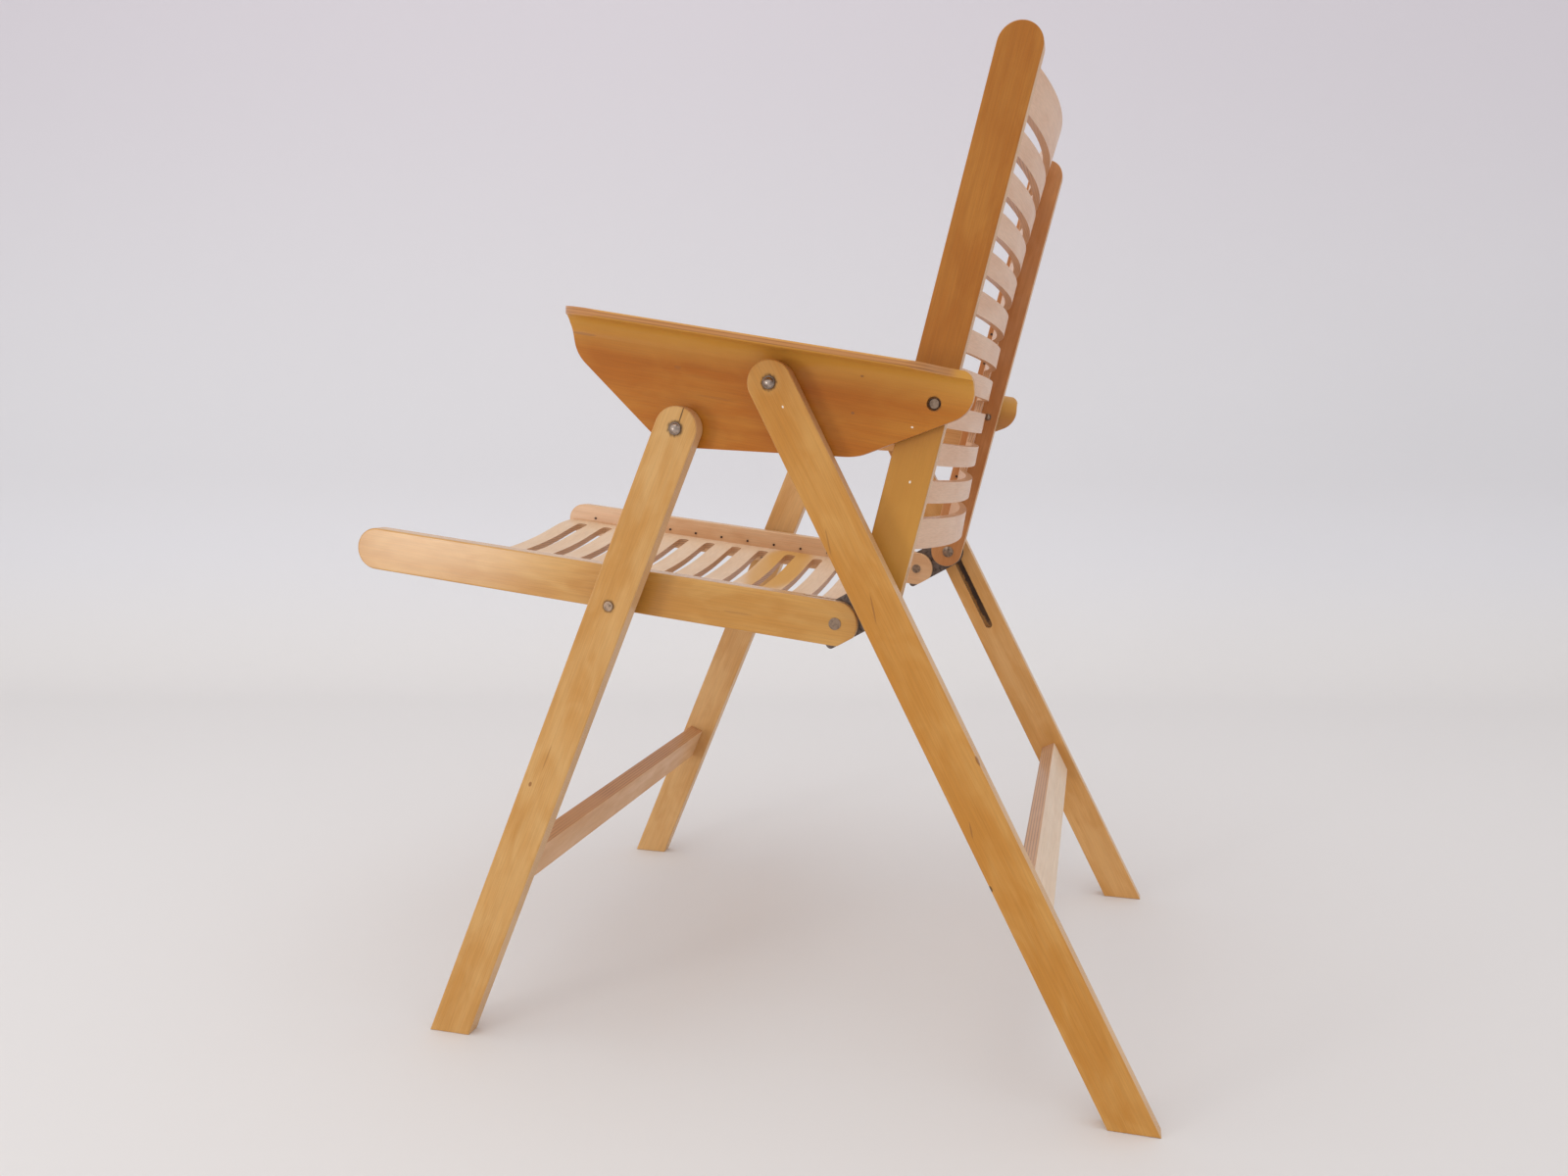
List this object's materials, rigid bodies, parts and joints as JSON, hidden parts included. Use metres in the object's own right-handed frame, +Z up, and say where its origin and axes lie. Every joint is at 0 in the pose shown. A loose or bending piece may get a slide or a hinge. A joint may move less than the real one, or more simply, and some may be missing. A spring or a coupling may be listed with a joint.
{
  "type": "folding armchair",
  "caption": "Folding plywood armchair with bent slatted seat and back, crossed splayed legs, L-section armrests and riveted pivots.",
  "frame": {"origin": "middle of the overall bounding box, on the floor", "axes": "+Z up, +X to the sitter's left, +Y to the rear; the chair faces -Y"},
  "size_m": [0.568, 0.7086, 0.84],
  "materials": {
    "back_rail_wood": "clear satin varnish over plywood veneer",
    "seat_rail_wood": "clear satin varnish over plywood veneer",
    "armrest_wood": "clear satin varnish over plywood veneer",
    "leg_wood": "clear satin varnish over plywood veneer",
    "stretcher_wood": "clear satin varnish over plywood veneer",
    "panel_wood": "clear satin varnish over plywood veneer",
    "steel": "dull, lightly tarnished",
    "plate_steel": "dull zinc",
    "brad_steel": "dark oxide"
  },
  "bodies": {
    "back": {"back_rail_left": "back_rail_wood", "back_rail_right": "back_rail_wood", "back_panel": "panel_wood", "back_brads": "brad_steel", "guide_screws": "steel"},
    "armrests": {"armrest_left": "armrest_wood", "armrest_right": "armrest_wood", "armrest_washers": "steel", "leg_rivets": "steel", "back_rivets": "steel"},
    "front_legs": {"front_leg_left": "leg_wood", "front_leg_right": "leg_wood", "front_stretcher": "stretcher_wood", "seat_rivets": "steel", "seat_spacers": "steel"},
    "rear_legs": {"rear_leg_left": "leg_wood", "rear_leg_right": "leg_wood", "rear_stretcher": "stretcher_wood"},
    "seat": {"seat_rail_left": "seat_rail_wood", "seat_rail_right": "seat_rail_wood", "seat_panel": "panel_wood", "seat_brads": "brad_steel", "hinge_rivets": "steel"},
    "link_plates": {"link_plate_left": "plate_steel", "link_plate_right": "plate_steel"}
  },
  "joints": [
    {"name": "arm_fold", "type": "hinge", "parent": "back", "child": "armrests", "pos_m": [0, 0.165, 0.5612], "axis": [-1, 0, 0], "range_deg": [0, 92]},
    {"name": "front_leg_fold", "type": "hinge", "parent": "armrests", "child": "front_legs", "pos_m": [0, -0.0396, 0.5419], "axis": [1, 0, 0], "range_deg": [0, 96.93]},
    {"name": "rear_leg_fold", "type": "hinge", "parent": "armrests", "child": "rear_legs", "pos_m": [0, 0.0382, 0.5776], "axis": [1, 0, 0], "range_deg": [0, 52.73]},
    {"name": "seat_fold", "type": "hinge", "parent": "front_legs", "child": "seat", "pos_m": [0, -0.0992, 0.396], "axis": [-1, 0, 0], "range_deg": [0, 96.93]},
    {"name": "link_fold", "type": "hinge", "parent": "back", "child": "link_plates", "pos_m": [0, 0.1232, 0.4065], "axis": [-1, 0, 0], "range_deg": [0, 59.54]}
  ],
  "couplings": [
    {"joint": "front_leg_fold", "follows": "arm_fold", "ratio": 1.0535},
    {"joint": "rear_leg_fold", "follows": "arm_fold", "ratio": 0.573},
    {"joint": "seat_fold", "follows": "arm_fold", "ratio": 1.0535},
    {"joint": "link_fold", "follows": "arm_fold", "ratio": 0.6471}
  ]
}
